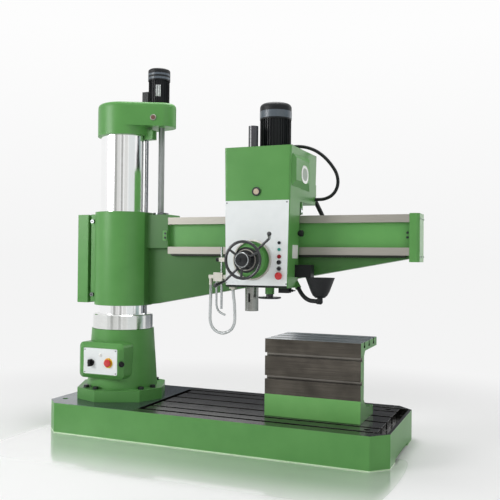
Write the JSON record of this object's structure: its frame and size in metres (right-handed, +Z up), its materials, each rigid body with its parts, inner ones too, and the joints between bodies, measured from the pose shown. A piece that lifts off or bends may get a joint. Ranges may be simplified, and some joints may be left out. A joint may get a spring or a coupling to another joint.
{
  "type": "radial arm drill",
  "caption": "Radial arm drill: slotted base with an angle table, turning column, motor-lifted arm and a travelling drill head with a sliding, turning spindle.",
  "frame": {"origin": "column axis on the floor", "axes": "X out along the arm at rest, Y to the back, Z up"},
  "size_m": [2.515, 0.94, 2.6133],
  "materials": {
    "green_paint": "semi-gloss",
    "green_cast": "painted casting, machined top",
    "grey_cast": "milled",
    "ground_column": "ground",
    "bright_steel": "ground",
    "panel_grey": "satin",
    "motor_black": "satin paint",
    "black_cover": "satin",
    "black_enamel": "gloss",
    "black_rubber": "ribbed",
    "clear_hose": "clear",
    "red_button": "gloss",
    "bronze": "machined",
    "glass": "clear"
  },
  "bodies": {
    "frame": {"base_plate": "green_cast", "column_base": "green_paint", "column_base_bolts": "bright_steel", "inner_column": "bright_steel", "pedestal_ring": "ground_column", "column_bearings": "bright_steel", "control_box": "green_paint", "control_plate": "panel_grey", "work_table": "grey_cast"},
    "column": {"outer_column": "ground_column", "column_cap": "green_paint", "lift_motor": "motor_black", "lift_motor_fan_cover": "black_cover", "cap_sight_glass": "glass"},
    "screw": {"lead_screw": "bright_steel"},
    "lift_gear": {"lift_pinion": "bright_steel"},
    "arm": {"arm": "green_paint", "arm_guideways": "bright_steel", "arm_end_cap": "green_paint", "lift_nut": "bronze", "traverse_rack": "bright_steel", "electrical_cabinet": "green_paint"},
    "head": {"head_housing": "green_paint", "panel_plate": "panel_grey", "main_motor": "motor_black", "main_motor_fan_cover": "black_cover", "spindle_cover_tube": "bright_steel", "head_sight_glass": "glass", "panel_lamps": "glass", "button_bezels": "bright_steel", "feed_flange": "green_paint", "coolant_pipe": "ground_column", "coolant_fittings": "bright_steel", "coolant_hose": "clear_hose", "gooseneck": "black_rubber", "lamp_shade": "black_cover", "lamp_bulb": "glass", "motor_conduit": "black_rubber", "arm_conduit": "black_rubber", "switch_boxes": "black_cover"},
    "quill": {"quill": "bright_steel", "spindle_bearings": "bright_steel"},
    "spindle": {"spindle": "bright_steel"},
    "wheel": {"handwheel": "black_enamel", "traverse_shaft": "bright_steel"},
    "clamp": {"clamp_button": "black_cover"},
    "release": {"release_button": "black_cover"},
    "feed": {"feed_hub": "black_enamel", "feed_levers": "black_enamel"},
    "micro": {"micro_wheel": "black_enamel"},
    "roller_l": {"roller_left": "bright_steel"},
    "roller_r": {"roller_right": "bright_steel"},
    "start": {"start_button": "black_cover"},
    "stop": {"stop_button": "black_cover"},
    "estop": {"panel_estop": "red_button"},
    "valve": {"valve_knob": "black_cover"},
    "lamp_switch": {"lamp_switch_lever": "black_cover"},
    "box_estop": {"control_estop": "red_button"},
    "isolator": {"isolator_knob": "black_cover"},
    "pump": {"pump_knob": "black_cover"}
  },
  "joints": [
    {"name": "arm_swivel", "type": "hinge", "parent": "frame", "child": "column", "pos_m": [0, 0, 0.9], "axis": [0, 0, 1], "range_deg": [-180, 180]},
    {"name": "arm_lift", "type": "slide", "parent": "column", "child": "arm", "axis": [0, 0, 1], "range_m": [-0.05, 0.52]},
    {"name": "screw_turn", "type": "hinge", "parent": "column", "child": "screw", "pos_m": [0.285, 0.04, 1.8], "axis": [0, 0, 1], "range_deg": [-11701, 1126]},
    {"name": "lift_pinion_turn", "type": "hinge", "parent": "column", "child": "lift_gear", "pos_m": [0.22745, 0.09557, 2.2], "axis": [0, 0, 1], "range_deg": [-2338, 24301]},
    {"name": "head_traverse", "type": "slide", "parent": "arm", "child": "head", "axis": [1, 0, 0], "range_m": [-0.5, 0.69], "deforming": ["arm_conduit"]},
    {"name": "handwheel_turn", "type": "hinge", "parent": "head", "child": "wheel", "pos_m": [1.13, -0.4, 1.21], "axis": [0, 1, 0], "range_deg": [-1583, 1147]},
    {"name": "roller_left_turn", "type": "hinge", "parent": "head", "child": "roller_l", "pos_m": [0.955, -0.01, 1.5383], "axis": [0, 1, 0], "range_deg": [-956, 1319]},
    {"name": "roller_right_turn", "type": "hinge", "parent": "head", "child": "roller_r", "pos_m": [1.355, -0.01, 1.5383], "axis": [0, 1, 0], "range_deg": [-956, 1319]},
    {"name": "quill_feed", "type": "slide", "parent": "head", "child": "quill", "axis": [0, 0, -1], "range_m": [0, 0.315]},
    {"name": "feed_turn", "type": "hinge", "parent": "head", "child": "feed", "pos_m": [1.13, -0.34, 1.21], "axis": [0, 1, 0], "range_deg": [-861, 0]},
    {"name": "spindle_spin", "type": "hinge", "parent": "quill", "child": "spindle", "pos_m": [1.062, -0.088, 1], "axis": [0, 0, 1], "continuous": true},
    {"name": "micro_turn", "type": "hinge", "parent": "head", "child": "micro", "pos_m": [1.214, -0.15, 0.97], "axis": [0, 0, 1], "continuous": true},
    {"name": "start_push", "type": "slide", "parent": "head", "child": "start", "axis": [0, 1, 0], "range_m": [0, 0.004], "stiffness_N_per_m": 500},
    {"name": "stop_push", "type": "slide", "parent": "head", "child": "stop", "axis": [0, 1, 0], "range_m": [0, 0.004], "stiffness_N_per_m": 500},
    {"name": "estop_push", "type": "slide", "parent": "head", "child": "estop", "axis": [0, 1, 0], "range_m": [0, 0.004], "stiffness_N_per_m": 500},
    {"name": "clamp_push", "type": "slide", "parent": "wheel", "child": "clamp", "axis": [0, 1, 0], "range_m": [0, 0.004], "stiffness_N_per_m": 500},
    {"name": "release_push", "type": "slide", "parent": "wheel", "child": "release", "axis": [0, 1, 0], "range_m": [0, 0.004], "stiffness_N_per_m": 500},
    {"name": "box_estop_push", "type": "slide", "parent": "frame", "child": "box_estop", "axis": [0, 1, 0], "range_m": [0, 0.004], "stiffness_N_per_m": 500},
    {"name": "isolator_turn", "type": "hinge", "parent": "frame", "child": "isolator", "pos_m": [-0.068, -0.303, 0.475], "axis": [0, 1, 0], "range_deg": [0, 90]},
    {"name": "pump_turn", "type": "hinge", "parent": "frame", "child": "pump", "pos_m": [0.167, -0.286, 0.475], "axis": [0.7071, -0.7071, 0], "range_deg": [-45, 45]},
    {"name": "valve_turn", "type": "hinge", "parent": "head", "child": "valve", "pos_m": [0.865, -0.205, 1.21], "axis": [1, 0, 0], "range_deg": [0, 270]},
    {"name": "lamp_switch_turn", "type": "hinge", "parent": "head", "child": "lamp_switch", "pos_m": [1.34, -0.146, 1.014], "axis": [1, 0, 0], "range_deg": [0, 45]}
  ],
  "couplings": [
    {"joint": "screw_turn", "follows": "arm_lift", "rad_per_m": -392.7},
    {"joint": "lift_pinion_turn", "follows": "arm_lift", "rad_per_m": 815.61},
    {"joint": "handwheel_turn", "follows": "head_traverse", "rad_per_m": -40},
    {"joint": "roller_left_turn", "follows": "head_traverse", "rad_per_m": 33.333},
    {"joint": "roller_right_turn", "follows": "head_traverse", "rad_per_m": 33.333},
    {"joint": "feed_turn", "follows": "quill_feed", "rad_per_m": -47.619}
  ]
}
